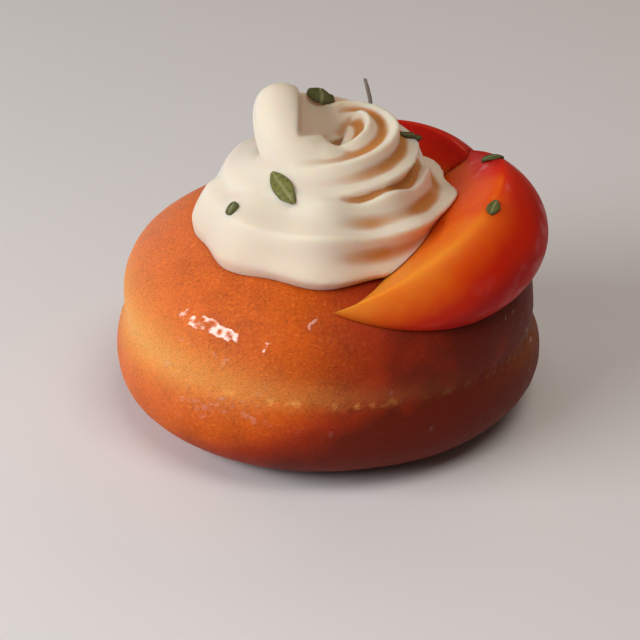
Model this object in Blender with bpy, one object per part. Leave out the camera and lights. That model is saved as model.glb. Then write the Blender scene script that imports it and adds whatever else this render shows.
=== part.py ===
"""Peach savarin: a soaked yeast bun with a piped cream rosette, two peach wedges and thyme leaves.

Metres, +Z up. The origin is on the surface the bun stands on, below the middle of the bun.
The front is towards -Y, and +X is to the viewer's right.
"""

import math

import bmesh
import bpy
from mathutils import Vector
from mathutils.bvhtree import BVHTree

MM = 0.001

# Clear space that touching pieces keep to each other
GAP = 0.3 * MM

# The bun: a turned form with a crease where it rose out of its ring mould
BUN_HEIGHT = 38 * MM
CROWN_RADIUS = 14 * MM
UPPER_RADIUS = 39 * MM
UPPER_HEIGHT = 22.5 * MM
CREASE_HEIGHT = 18.5 * MM
CREASE_DEPTH = 0.9 * MM
CREASE_FADE = 0.8
CREASE_WIDTH = 2.2 * MM
CREASE_TILT = 1.3 * MM
LOWER_RADIUS = 40.5 * MM
LOWER_HEIGHT = 11 * MM
FOOT_RADIUS = 22 * MM
UPPER_ROUNDNESS = 2.3
LOWER_ROUNDNESS = 2.2
BUN_SECTORS = 72
BUN_UPPER_ROWS = 9
BUN_SIDE_ROWS = 9
BUN_LOWER_ROWS = 6

# How the bun's girth departs from round: waves in a turn, share of the radius and phase
GIRTH_WAVES = ((2, 0.006, 0.6), (3, 0.004, 2.1))

# The cream: a fluted rope that winds inwards and upwards.
# Each station is the winding angle in degrees, the way out from the axis,
# the height of the rope's middle and the rope's radius, in millimetres.
ROPE_STATIONS = (
    (-200, 14.5, 38.5, 8.5),
    (-90, 16.6, 39.0, 11.2),
    (0, 15.2, 39.5, 10.3),
    (90, 14.0, 40.5, 10.0),
    (180, 11.4, 41.6, 9.6),
    (270, 10.4, 45.4, 9.4),
    (360, 9.8, 49.2, 8.8),
    (450, 8.8, 52.0, 6.6),
    (505, 8.2, 56.4, 5.4),
    (535, 7.9, 59.0, 5.1),
    (560, 7.6, 56.6, 5.6),
    (585, 7.2, 53.0, 6.0),
    (610, 6.8, 51.0, 6.0),
    (635, 6.4, 50.4, 6.0),
    (665, 5.9, 51.2, 4.9),
    (690, 5.8, 53.2, 2.7),
)
ROPE_AXIS = (-0.8 * MM, -1.0 * MM)
ROPE_STEP = 6
ROPE_END_SHARE = 0.35
ROPE_END_RINGS = 4
FLUTES = 9
FLUTE_DEPTH = 0.32
FLUTE_SHARPNESS = 1.1
FLUTE_PHASE = -30
FLUTE_TWIST = -0.12
FLUTE_CURL = 75
CURL_FROM = 390
CURL_TO = 480
FLUTE_DEEPEST = 15
FLUTE_EVENNESS = 0.55
FLUTE_POINTS = 5
PLAIN_FROM = 470
PLAIN_TO = 560
PLAIN_SHARE = 0.85
LOBES = 9
LOBE_DEPTH = 0.07
LOBES_FROM = 40
LOBES_TO = 180
CORE_RADIUS = 15 * MM
CORE_BASE = 34 * MM
CORE_TOP = 50 * MM
CORE_ROUNDNESS = 2.5
CORE_FLAT_TOP = 0.002
CORE_SIDES = 32
CORE_ROWS = 8

# The hollow beside the knob: the corners of its floor, of its rim and of the clear space over it,
# in millimetres
HOLLOW_FLOOR = ((-5.4, -5.0, 52.0), (1.5, -4.5, 52.5), (2.5, 2.0, 53.0), (-5.4, 3.0, 53.0))
HOLLOW_RIM = ((-5.4, -6.0, 56.9), (4.4, -5.6, 56.4), (5.6, 5.0, 57.5), (-5.4, 8.5, 58.5))
HOLLOW_SKY = ((-5.4, -60.0, 70.0), (30.0, -50.0, 70.0), (15.0, 20.0, 70.0), (-5.4, 20.0, 70.0))
CREAM_VOXEL = 1.3 * MM
CREAM_TRIANGLES = 4400
CREAM_SMOOTHING = 2

# The peach wedges: a crescent between two tips, with its skin bowed outwards
WEDGE_STATIONS = 20
SKIN_STEPS = 12
CUT_STEPS = 6
EDGE_ROUNDING = 2

# Thyme leaves, each by a place near its middle, the way its tip points, its length and its width,
# in millimetres
LEAF_PROUD = 0.5 * MM
LEAF_SUNK = 0.4 * MM
LEAF_SAG = 0.6 * MM
LEAF_WAVE = 0.15 * MM
LEAF_BLUNTNESS = 0.06
LEAF_ROUNDNESS = 0.8
LEAF_ROWS = 7

# How far above a leaf's place, and how far down from there, the surface it lies on is looked for
SURFACE_ABOVE = 4 * MM
SURFACE_REACH = 9 * MM
LEAVES_ON_CREAM = (
    ((-0.7, 8.3, 59.6), (0.1, -1, -0.1), 5.0, 5.6),
    ((-8.2, -16.2, 51.1), (-4.2, 7.3, 3.1), 8.6, 3.6),
    ((-17.3, -16.5, 46.9), (0.2, 0.7, 0.3), 3.2, 2.9),
    ((15.3, 2.0, 52.4), (0.5, 0.2, -0.85), 4.4, 2.6),
)
LEAVES_ON_PEACH = (
    ((30.4, 2.6, 49.0), (1, -0.35, -0.1), 4.4, 2.6),
    ((29.4, -19.5, 48.0), (0.35, 1, 0.2), 4.2, 2.5),
)

# A bare thyme stalk that stands in the back of the rosette
STALK_FOOT = (8.3, 7.4, 54.4)
STALK_TIP = (6.9, 9.4, 61.4)
STALK_RADIUS = 0.45 * MM
STALK_TAPER = 0.7
STALK_SIDES = 6

# Edges sharper than this, in degrees, stay crisp
SHARP_FROM = 50

# The most that a sharp edge is moved out by, in gaps
EDGE_GAPS = 3


def clear_scene():
    """Remove every object that the new file starts with."""
    for item in list(bpy.data.objects):
        bpy.data.objects.remove(item, do_unlink=True)


def make_material(name, colour, roughness):
    """Make a Principled material of one colour."""
    material = bpy.data.materials.new(name)
    material.use_nodes = True
    shader = material.node_tree.nodes["Principled BSDF"]
    shader.inputs["Base Color"].default_value = (*colour, 1)
    shader.inputs["Roughness"].default_value = roughness
    shader.inputs["Metallic"].default_value = 0
    return material


def make_piece(name, points, faces, material=None):
    """Make an object from points and faces, with its faces turned outwards."""
    mesh = bpy.data.meshes.new(name)
    mesh.from_pydata([tuple(point) for point in points], [], faces)
    build = bmesh.new()
    build.from_mesh(mesh)
    bmesh.ops.recalc_face_normals(build, faces=build.faces)
    build.to_mesh(mesh)
    build.free()
    piece = bpy.data.objects.new(name, mesh)
    bpy.context.collection.objects.link(piece)
    if material:
        mesh.materials.append(material)
    return piece


def settle_modifiers(piece):
    """Make the result of a piece's modifiers its own mesh."""
    graph = bpy.context.evaluated_depsgraph_get()
    mesh = bpy.data.meshes.new_from_object(piece.evaluated_get(graph))
    piece.modifiers.clear()
    piece.data = mesh


def shade_round(piece):
    """Shade a piece smooth, with its sharp edges kept crisp."""
    piece.data.shade_smooth()
    piece.data.set_sharp_from_angle(angle=math.radians(SHARP_FROM))


def loft_faces(rows, sides):
    """Quads between closed rows of points, with both ends left open."""
    faces = []
    for row in range(rows - 1):
        for side in range(sides):
            after = (side + 1) % sides
            first = row * sides
            second = first + sides
            faces.append((first + side, first + after, second + after, second + side))
    return faces


def smooth_step(share):
    """Ease from 0 to 1."""
    share = min(max(share, 0), 1)
    return share * share * (3 - 2 * share)


def bun_stretch(angle):
    """How far the bun's girth departs from round, as a factor on its radius."""
    return 1 + sum(share * math.sin(waves * angle + phase) for waves, share, phase in GIRTH_WAVES)


def crease_depth(angle):
    """Depth of the crease: a waist at the sides that runs out towards the front."""
    front = max(0, -math.sin(angle)) ** 2
    return CREASE_DEPTH * (1 - CREASE_FADE * front)


def bun_side_radius(height, angle):
    """Radius of the bun between its two widest heights, with the crease."""
    share = smooth_step((height - LOWER_HEIGHT) / (UPPER_HEIGHT - LOWER_HEIGHT))
    radius = LOWER_RADIUS + (UPPER_RADIUS - LOWER_RADIUS) * share
    crease = CREASE_HEIGHT - CREASE_TILT * math.cos(angle)
    away = (height - crease) / CREASE_WIDTH
    return radius - crease_depth(angle) * math.exp(-away * away)


def bun_outline(angle):
    """Outline of the bun in one upright half plane, from the crown down to the foot."""
    outline = []
    for row in range(BUN_UPPER_ROWS):
        turn = row / BUN_UPPER_ROWS * math.pi / 2
        out = CROWN_RADIUS + (UPPER_RADIUS - CROWN_RADIUS) * math.sin(turn) ** (2 / UPPER_ROUNDNESS)
        up = UPPER_HEIGHT + (BUN_HEIGHT - UPPER_HEIGHT) * math.cos(turn) ** (2 / UPPER_ROUNDNESS)
        outline.append((out, up))
    for row in range(BUN_SIDE_ROWS):
        up = UPPER_HEIGHT + (LOWER_HEIGHT - UPPER_HEIGHT) * row / BUN_SIDE_ROWS
        outline.append((bun_side_radius(up, angle), up))
    for row in range(BUN_LOWER_ROWS + 1):
        turn = row / BUN_LOWER_ROWS * math.pi / 2
        out = FOOT_RADIUS + (LOWER_RADIUS - FOOT_RADIUS) * max(math.cos(turn), 0) ** (2 / LOWER_ROUNDNESS)
        up = LOWER_HEIGHT * (1 - math.sin(turn) ** (2 / LOWER_ROUNDNESS))
        outline.append((out, up))
    return outline


def bun_top(x, y):
    """Height of the bun's upper surface above a place."""
    out = math.hypot(x, y) / bun_stretch(math.atan2(y, x))
    share = min(max((out - CROWN_RADIUS) / (UPPER_RADIUS - CROWN_RADIUS), 0), 1)
    fall = (1 - share ** UPPER_ROUNDNESS) ** (1 / UPPER_ROUNDNESS)
    return UPPER_HEIGHT + (BUN_HEIGHT - UPPER_HEIGHT) * fall


def build_bun(name, material):
    """Turn the bun's outline."""
    points = []
    rows = 0
    for sector in range(BUN_SECTORS):
        angle = math.tau * sector / BUN_SECTORS
        outline = bun_outline(angle)
        rows = len(outline)
        for out, up in outline:
            radius = out * bun_stretch(angle)
            points.append((radius * math.cos(angle), radius * math.sin(angle), up))
    faces = []
    for sector in range(BUN_SECTORS):
        here = sector * rows
        beyond = (sector + 1) % BUN_SECTORS * rows
        for row in range(rows - 1):
            faces.append((here + row, here + row + 1, beyond + row + 1, beyond + row))
    points.append((0, 0, BUN_HEIGHT))
    points.append((0, 0, 0))
    crown = len(points) - 2
    foot = len(points) - 1
    for sector in range(BUN_SECTORS):
        here = sector * rows
        beyond = (sector + 1) % BUN_SECTORS * rows
        faces.append((crown, here, beyond))
        faces.append((foot, beyond + rows - 1, here + rows - 1))
    return make_piece(name, points, faces, material)


def rope_station(angle):
    """Way out, height and radius of the cream rope at a winding angle, in metres."""
    places = [station[0] for station in ROPE_STATIONS]
    last = len(places) - 1
    index = max(i for i in range(last) if places[i] <= angle)
    share = (angle - places[index]) / (places[index + 1] - places[index])
    values = []
    for column in (1, 2, 3):
        before, here, after, beyond = (ROPE_STATIONS[min(max(index + step, 0), last)][column]
                                       for step in (-1, 0, 1, 2))
        bend = (2 * here + (after - before) * share
                + (2 * before - 5 * here + 4 * after - beyond) * share ** 2
                + (3 * here - before - 3 * after + beyond) * share ** 3)
        values.append(bend / 2 * MM)
    return values


def rope_middle(angle):
    """Middle of the cream rope at a winding angle."""
    out, up, _ = rope_station(angle)
    turn = math.radians(angle)
    return Vector((ROPE_AXIS[0] + out * math.cos(turn), ROPE_AXIS[1] + out * math.sin(turn), up))


def flute_depth(angle):
    """Depth of the grooves: deepest at the right, smeared at the left and at the end of the rope."""
    side = FLUTE_EVENNESS + (1 - FLUTE_EVENNESS) * math.cos(math.radians(angle - FLUTE_DEEPEST))
    plain = smooth_step((angle - PLAIN_FROM) / (PLAIN_TO - PLAIN_FROM))
    return FLUTE_DEPTH * side * (1 - PLAIN_SHARE * plain)


def lobe_swell(angle):
    """How far the lowest turn swells and pinches along its way, as a factor on the rope's radius."""
    low = 1 - smooth_step((angle - LOBES_FROM) / (LOBES_TO - LOBES_FROM))
    return 1 - LOBE_DEPTH * low * math.sin(LOBES * math.radians(angle))


def flute_spin(angle):
    """How far the grooves are turned round the rope: a slow twist, then a curl down into the hollow."""
    curl = FLUTE_CURL * smooth_step((angle - CURL_FROM) / (CURL_TO - CURL_FROM))
    return math.radians(FLUTE_PHASE + FLUTE_TWIST * (angle - ROPE_STATIONS[0][0]) + curl)


def flute_reach(turn, depth):
    """Share of the rope's radius that the star nozzle leaves at an angle round the rope."""
    return 1 - depth * abs(math.sin(FLUTES * turn / 2)) ** FLUTE_SHARPNESS


def end_taper(ring, count):
    """How slim the rope is near either of its ends, as a factor on its radius."""
    return min(1, ROPE_END_SHARE + min(ring, count - ring) / ROPE_END_RINGS)


def build_rope(name):
    """Sweep the star nozzle's profile along the winding path."""
    first = ROPE_STATIONS[0][0]
    final = ROPE_STATIONS[-1][0]
    count = (final - first) // ROPE_STEP
    sides = FLUTES * FLUTE_POINTS
    points = []
    for ring in range(count + 1):
        angle = first + (final - first) * ring / count
        middle = rope_middle(angle)
        ahead = rope_middle(min(angle + 1, final)) - rope_middle(max(angle - 1, first))
        ahead.normalize()
        turn = math.radians(angle)
        outward = Vector((math.cos(turn), math.sin(turn), 0))
        outward = (outward - ahead * outward.dot(ahead)).normalized()
        upward = ahead.cross(outward) * -1
        radius = rope_station(angle)[2] * lobe_swell(angle) * end_taper(ring, count)
        depth = flute_depth(angle)
        spin = flute_spin(angle)
        for side in range(sides):
            around = math.tau * side / sides
            reach = radius * flute_reach(around, depth)
            place = around + spin
            points.append(middle + outward * reach * math.cos(place) + upward * reach * math.sin(place))
    faces = loft_faces(count + 1, sides)
    faces.append(tuple(range(sides)))
    faces.append(tuple(range(count * sides, (count + 1) * sides)))
    return make_piece(name, points, faces)


def build_core(name):
    """Make the plain mass of cream that the rope is wound round."""
    points = []
    for row in range(CORE_ROWS + 1):
        share = row / CORE_ROWS
        radius = CORE_RADIUS * math.sqrt(max(1 - share ** CORE_ROUNDNESS, CORE_FLAT_TOP))
        height = CORE_BASE + (CORE_TOP - CORE_BASE) * share
        for side in range(CORE_SIDES):
            turn = math.tau * side / CORE_SIDES
            out = (ROPE_AXIS[0] + radius * math.cos(turn), ROPE_AXIS[1] + radius * math.sin(turn))
            points.append((*out, height))
    faces = loft_faces(CORE_ROWS + 1, CORE_SIDES)
    faces.append(tuple(range(CORE_SIDES)))
    faces.append(tuple(range(CORE_ROWS * CORE_SIDES, (CORE_ROWS + 1) * CORE_SIDES)))
    return make_piece(name, points, faces)


def build_hollow(name):
    """Make the body that is scooped out of the cream beside the knob."""
    points = [Vector(corner) * MM for corner in HOLLOW_FLOOR + HOLLOW_RIM + HOLLOW_SKY]
    faces = loft_faces(3, 4)
    faces.append((0, 1, 2, 3))
    faces.append((8, 9, 10, 11))
    return make_piece(name, points, faces)


def join_pieces(name, pieces):
    """Put several pieces' meshes into one object, as bodies that may cross."""
    build = bmesh.new()
    for piece in pieces:
        build.from_mesh(piece.data)
        bpy.data.objects.remove(piece, do_unlink=True)
    mesh = bpy.data.meshes.new(name)
    build.to_mesh(mesh)
    build.free()
    joined = bpy.data.objects.new(name, mesh)
    bpy.context.collection.objects.link(joined)
    return joined


def grown_copy(piece):
    """Copy a piece with its surface moved out by the gap, to cut its neighbour with."""
    mesh = piece.data.copy()
    build = bmesh.new()
    build.from_mesh(mesh)
    build.normal_update()
    moves = [vertex.normal * GAP * min(vertex.calc_shell_factor(), EDGE_GAPS) for vertex in build.verts]
    for vertex, move in zip(build.verts, moves):
        vertex.co += move
    build.to_mesh(mesh)
    build.free()
    copy = bpy.data.objects.new("seat on " + piece.name, mesh)
    bpy.context.collection.objects.link(copy)
    return copy


def cut_away(piece, cutters):
    """Cut a piece by each of its cutters."""
    for cutter in cutters:
        cutter.hide_render = True
        cutter.display_type = "WIRE"
        cut = piece.modifiers.new("cut", "BOOLEAN")
        cut.operation = "DIFFERENCE"
        cut.object = cutter
    settle_modifiers(piece)
    for cutter in cutters:
        bpy.data.objects.remove(cutter, do_unlink=True)


def run_together(piece):
    """Make one skin out of a piece's crossing bodies."""
    remesh = piece.modifiers.new("run together", "REMESH")
    remesh.mode = "VOXEL"
    remesh.voxel_size = CREAM_VOXEL
    settle_modifiers(piece)


def build_cream(name, material, cutters):
    """Pipe the rosette, run its turns together and seat it on the bun and the peach."""
    cream = join_pieces(name, [build_rope("rope"), build_core("core")])
    run_together(cream)
    cut_away(cream, [build_hollow("hollow")])
    run_together(cream)
    soften = cream.modifiers.new("soften", "SMOOTH")
    soften.factor = 0.5
    soften.iterations = CREAM_SMOOTHING
    settle_modifiers(cream)
    thin = cream.modifiers.new("thin", "DECIMATE")
    thin.ratio = CREAM_TRIANGLES / (2 * len(cream.data.polygons))
    settle_modifiers(cream)
    cut_away(cream, cutters)
    cream.data.materials.clear()
    cream.data.materials.append(material)
    return cream


class Wedge:
    """A crescent of peach flesh between two tips, which lies on the bun."""

    def __init__(self, near, far, low, high, bow, swell, stone):
        """Take the tips, the skin's lower and upper edge angles, and the depths in metres."""
        self.near = Vector(near) * MM
        self.far = Vector(far) * MM
        self.low = math.radians(low)
        self.high = math.radians(high)
        self.bow = bow * MM
        self.swell = swell * MM
        self.stone = stone * MM
        along = (self.far - self.near).normalized()
        self.outward = along.cross(Vector((0, 0, 1))).normalized()
        self.upward = self.outward.cross(along)

    def place(self, along, turn, depth):
        """A point at an angle along the crescent, an angle round it and a depth."""
        middle = (self.near + self.far) / 2 + (self.far - self.near) / 2 * math.sin(along)
        way = self.outward * math.cos(turn) + self.upward * math.sin(turn)
        return middle + way * depth * math.cos(along)

    def skin(self, along, share):
        """A point on the skin, from its lower edge at 0 to its upper edge at 1."""
        turn = self.low + (self.high - self.low) * share
        return self.place(along, turn, self.bow + self.swell * math.sin(math.pi * share))

    def core(self, along):
        """The inner edge, where the stone lay."""
        return self.place(along, (self.low + self.high) / 2, self.stone)

    def section(self, along):
        """One closed section: skin upwards, upper cut inwards, lower cut outwards, corners rounded."""
        points = [self.skin(along, step / SKIN_STEPS) for step in range(SKIN_STEPS)]
        upper = self.skin(along, 1)
        core = self.core(along)
        points += [upper.lerp(core, step / CUT_STEPS) for step in range(CUT_STEPS)]
        points += [core.lerp(points[0], step / CUT_STEPS) for step in range(CUT_STEPS)]
        for _ in range(EDGE_ROUNDING):
            points = [(points[i - 1] + points[i] * 2 + points[(i + 1) % len(points)]) / 4
                      for i in range(len(points))]
        return points

    def build(self, name, material):
        """Loft the sections from tip to tip, and lay the wedge on the bun."""
        sides = SKIN_STEPS + 2 * CUT_STEPS
        points = []
        for row in range(1, WEDGE_STATIONS):
            along = math.pi * (row / WEDGE_STATIONS - 0.5)
            points.extend(self.section(along))
        faces = loft_faces(WEDGE_STATIONS - 1, sides)
        for end, tip in enumerate((self.near, self.far)):
            points.append(tip)
            first = end * (WEDGE_STATIONS - 2) * sides
            for side in range(sides):
                faces.append((len(points) - 1, first + side, first + (side + 1) % sides))
        return make_piece(name, [self.rest(point) for point in points], faces, material)

    @staticmethod
    def rest(point):
        """Lift a point that would lie below the bun's crust."""
        lowest = bun_top(point.x, point.y) + GAP
        return Vector((point.x, point.y, max(point.z, lowest)))


FRONT_WEDGE = Wedge(near=(1, -32.9, 34.4), far=(18.5, 18.8, 40.8),
                    low=-22, high=29, bow=25.4, swell=5.9, stone=5.6)
BACK_WEDGE = Wedge(near=(27, -6, 38.3), far=(-9, 25, 37),
                   low=-22, high=36, bow=17, swell=4.5, stone=5)


def surface_of(piece):
    """A searchable copy of a piece's surface."""
    build = bmesh.new()
    build.from_mesh(piece.data)
    tree = BVHTree.FromBMesh(build)
    build.free()
    return tree


def build_leaf(name, surface, near, heading, length, width):
    """Drape a thin wavy leaf over a surface, near a place, with its tip towards the heading."""
    spot, normal, _, _ = surface.find_nearest(Vector(near) * MM)
    forward = Vector(heading)
    forward = (forward - normal * forward.dot(normal)).normalized()
    across = normal.cross(forward)
    points = []
    for layer in (LEAF_PROUD, -LEAF_SUNK):
        for row in range(LEAF_ROWS):
            share = row / (LEAF_ROWS - 1)
            blunt = LEAF_BLUNTNESS + (1 - 2 * LEAF_BLUNTNESS) * share
            half = width / 2 * MM * math.sin(math.pi * blunt) ** LEAF_ROUNDNESS
            for side in (-1, 0, 1):
                flat = spot + forward * (share - 0.5) * length * MM + across * side * half
                hit, _, _, _ = surface.ray_cast(flat + normal * SURFACE_ABOVE, -normal, SURFACE_REACH)
                rise = max((hit - flat).dot(normal), -LEAF_SAG) if hit else -LEAF_SAG
                wave = LEAF_WAVE * math.sin(3 * math.pi * share) * side
                points.append(flat + normal * (rise + layer + wave))
    faces = []
    layer_size = LEAF_ROWS * 3
    for row in range(LEAF_ROWS - 1):
        for side in range(2):
            corner = row * 3 + side
            quad = (corner, corner + 1, corner + 4, corner + 3)
            faces.append((quad[0], quad[1], quad[2]))
            faces.append((quad[0], quad[2], quad[3]))
            faces.append(tuple(index + layer_size for index in (quad[2], quad[1], quad[0])))
            faces.append(tuple(index + layer_size for index in (quad[3], quad[2], quad[0])))
        for side in (0, 2):
            corner = row * 3 + side
            faces.append((corner, corner + 3, corner + 3 + layer_size, corner + layer_size))
    for row in (0, LEAF_ROWS - 1):
        for side in range(2):
            corner = row * 3 + side
            faces.append((corner, corner + 1, corner + 1 + layer_size, corner + layer_size))
    return make_piece(name, points, faces)


def build_stalk(name):
    """Make the stalk as a slim tapering stick."""
    foot = Vector(STALK_FOOT) * MM
    tip = Vector(STALK_TIP) * MM
    along = (tip - foot).normalized()
    across = along.cross(Vector((0, 1, 0))).normalized()
    beside = along.cross(across)
    points = []
    for place, radius in ((foot, STALK_RADIUS), (tip, STALK_RADIUS * STALK_TAPER)):
        for side in range(STALK_SIDES):
            turn = math.tau * side / STALK_SIDES
            points.append(place + (across * math.cos(turn) + beside * math.sin(turn)) * radius)
    faces = loft_faces(2, STALK_SIDES)
    faces.append(tuple(range(STALK_SIDES)))
    faces.append(tuple(range(STALK_SIDES, 2 * STALK_SIDES)))
    return make_piece(name, points, faces)


def dress(piece, leaves, extra=()):
    """Lay thyme leaves on a piece and join them to it."""
    surface = surface_of(piece)
    toppings = [build_leaf("leaf", surface, *leaf) for leaf in leaves]
    fuse(piece, toppings + list(extra))


def fuse(piece, toppings):
    """Join small toppings to what they lie on with one union."""
    group = bpy.data.collections.new(piece.name + " toppings")
    bpy.context.scene.collection.children.link(group)
    for topping in toppings:
        bpy.context.collection.objects.unlink(topping)
        group.objects.link(topping)
    union = piece.modifiers.new("fuse", "BOOLEAN")
    union.operation = "UNION"
    union.solver = "MANIFOLD"
    union.operand_type = "COLLECTION"
    union.collection = group
    settle_modifiers(piece)
    for topping in toppings:
        bpy.data.objects.remove(topping, do_unlink=True)
    bpy.data.collections.remove(group)


def main():
    """Make the savarin."""
    clear_scene()
    crust = make_material("baked crust", (0.52, 0.17, 0.035), 0.35)
    whipped = make_material("whipped cream", (0.86, 0.78, 0.62), 0.45)
    flesh = make_material("poached peach", (0.80, 0.18, 0.02), 0.25)
    bun = build_bun("savarin_bun", crust)
    front = FRONT_WEDGE.build("peach_front", flesh)
    back = BACK_WEDGE.build("peach_back", flesh)
    seats = [grown_copy(piece) for piece in (bun, front, back)]
    cut_away(back, [grown_copy(front)])
    cream = build_cream("cream_rosette", whipped, seats)
    dress(cream, LEAVES_ON_CREAM, [build_stalk("stalk")])
    dress(front, LEAVES_ON_PEACH)
    for piece in (bun, front, back, cream):
        shade_round(piece)


main()
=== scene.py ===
import math

import bmesh
import bpy
from bpy.props import FloatProperty, FloatVectorProperty, IntProperty, PointerProperty
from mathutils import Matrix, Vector, noise
from mathutils.bvhtree import BVHTree


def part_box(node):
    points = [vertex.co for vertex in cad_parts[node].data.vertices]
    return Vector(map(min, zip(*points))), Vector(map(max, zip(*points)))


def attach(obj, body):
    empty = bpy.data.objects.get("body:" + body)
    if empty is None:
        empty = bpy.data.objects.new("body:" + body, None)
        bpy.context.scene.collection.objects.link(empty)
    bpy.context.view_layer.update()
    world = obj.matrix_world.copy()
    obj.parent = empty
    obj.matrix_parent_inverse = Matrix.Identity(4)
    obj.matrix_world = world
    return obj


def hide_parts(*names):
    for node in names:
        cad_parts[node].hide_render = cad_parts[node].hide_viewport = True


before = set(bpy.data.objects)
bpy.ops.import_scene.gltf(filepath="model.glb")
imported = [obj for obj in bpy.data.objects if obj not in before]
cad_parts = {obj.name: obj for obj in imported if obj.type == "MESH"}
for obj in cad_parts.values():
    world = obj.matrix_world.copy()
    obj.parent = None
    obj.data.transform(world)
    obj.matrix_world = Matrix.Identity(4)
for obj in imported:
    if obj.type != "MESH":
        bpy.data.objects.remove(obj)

bl_info = {
    "name": "Peach savarin",
    "version": (1, 0, 0),
    "blender": (4, 5, 0),
    "location": "View3D > Sidebar > Savarin",
    "description": "Bakes, soaks and tops the savarin, and sets it on its stage",
    "category": "Add Mesh",
}

MM = 0.001
BODY = "root"
FLOOR_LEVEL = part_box("savarin_bun")[0].z

# The bun: a turned form with a crease where it rose out of its ring mould
BUN_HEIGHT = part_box("savarin_bun")[1].z
CROWN_RADIUS = 14 * MM
UPPER_RADIUS = 39 * MM
UPPER_HEIGHT = 22.5 * MM
CREASE_HEIGHT = 18.5 * MM
CREASE_DEPTH = 0.9 * MM
CREASE_FADE = 0.8
CREASE_WIDTH = 2.2 * MM
CREASE_TILT = 1.3 * MM
CREASE_WANDER = 0.5 * MM
LOWER_RADIUS = 40.5 * MM
LOWER_HEIGHT = 11 * MM
FOOT_RADIUS = 22 * MM
UPPER_ROUNDNESS = 2.3
LOWER_ROUNDNESS = 2.2
BUN_SECTORS = 128
BUN_UPPER_ROWS = 12
BUN_SIDE_ROWS = 6
BUN_LOWER_ROWS = 8
FOOT_RINGS = (0.6, 0.25)
FOOT_EDGE = 2 * MM
CROWN_EDGE = 6 * MM
BUN_FINENESS = 2

# How the bun's girth departs from round: waves in a turn, share of the radius and phase
GIRTH_WAVES = ((2, 0.006, 0.6), (3, 0.004, 2.1))

# Bumps on the crust, each kind by its size and its height in millimetres, and the syrup lying on it
CRUST_DENTS = (17, 0.28)
CRUST_LUMPS = (3.2, 0.07)
CRUST_PIMPLES = (1.3, 0.03)
CREASE_TEARS = (1.4, 0.45)
SYRUP_THICKNESS = 0.05 * MM

# Where the crust is pale, torn and wet, and from where and over how much of a turn it darkens,
# partly from browning and partly as painted shade, in degrees round the bun from its right side,
# with the front at -90
BAND_ANGLE = 192
TEAR_ANGLE = -100
TEAR_REACH = 24
TEAR_DEEPEST = 285
SYRUP_ANGLE = -121
SYRUP_REACH = 17
FRONT_DARKENED = (-160, 80)
RIGHT_DARKENED = (-118, 78)
BACK_UNDARKENED = (5, 110)

# The cream: a fluted rope that winds inwards and upwards.
# Each station is the winding angle in degrees, the way out from the axis,
# the height of the rope's middle and the rope's radius, in millimetres.
ROPE_STATIONS = (
    (-200, 14.5, 38.5, 8.5),
    (-90, 16.6, 39.0, 11.2),
    (0, 15.2, 39.5, 10.3),
    (90, 14.0, 40.5, 10.0),
    (180, 11.4, 41.6, 9.6),
    (270, 10.4, 45.4, 9.4),
    (360, 9.8, 49.2, 8.8),
    (450, 8.8, 52.0, 6.6),
    (505, 8.2, 56.4, 5.4),
    (535, 7.9, 59.0, 5.1),
    (560, 7.6, 56.6, 5.6),
    (585, 7.2, 53.0, 6.0),
    (610, 6.8, 51.0, 6.0),
    (635, 6.4, 50.4, 6.0),
    (665, 5.9, 51.2, 4.9),
    (690, 5.8, 53.2, 2.7),
)
ROPE_AXIS = (-0.8 * MM, -1.0 * MM)
ROPE_STEP = 3
ROPE_END_SHARE = 0.35
ROPE_END_TURN = 24
FLUTES = 9
FLUTE_DEPTH = 0.32
FLUTE_SHARPNESS = 1.1
FLUTE_PHASE = -30
FLUTE_TWIST = -0.12
FLUTE_CURL = 75
CURL_FROM = 390
CURL_TO = 480
FLUTE_DEEPEST = 15
FLUTE_EVENNESS = 0.55
FLUTE_POINTS = 10
PLAIN_FROM = 470
PLAIN_TO = 560
PLAIN_SHARE = 0.85
LOBES = 9
LOBE_DEPTH = 0.07
LOBES_FROM = 40
LOBES_TO = 180
CORE_RADIUS = 15 * MM
CORE_BASE = 34 * MM
CORE_TOP = 50 * MM
CORE_ROUNDNESS = 2.5
CORE_FLAT_TOP = 0.002
CORE_SIDES = 48
CORE_ROWS = 12

# The hollow beside the knob: the corners of its floor, of its rim and of the clear space over it,
# in millimetres
HOLLOW_FLOOR = ((-5.4, -5.0, 52.0), (1.5, -4.5, 52.5), (2.5, 2.0, 53.0), (-5.4, 3.0, 53.0))
HOLLOW_RIM = ((-5.4, -6.0, 56.9), (4.4, -5.6, 56.4), (5.6, 5.0, 57.5), (-5.4, 8.5, 58.5))
HOLLOW_SKY = ((-5.4, -60.0, 70.0), (30.0, -50.0, 70.0), (15.0, 20.0, 70.0), (-5.4, 20.0, 70.0))
CREAM_GAP = 0.2 * MM

# The most that a sharp edge is moved out by, in gaps
EDGE_GAPS = 3

# How often the cream is smoothed to find its general surface, and how deep a groove it runs into
GENERAL_ROUNDS = 30
GROOVE_FILL = 0.6
GROOVE_DEEP = 0.3 * MM

# How much painted shade the cream gets in the hollow and low down, where 1 is the colour of the grooves
HOLLOW_PAINTED_SHADE = 0.16
LOW_PAINTED_SHADE = 0.14

# The peach wedges: a crescent between two tips, with its skin bowed outwards
WEDGE_GAP = 0.3 * MM
WEDGE_CONTACT = 0.08 * MM
CONTACT_RIPENESS = 0.85
WEDGE_STATIONS = 64
SKIN_STEPS = 40
CUT_STEPS = 20
EDGE_ROUNDING = 12

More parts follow.
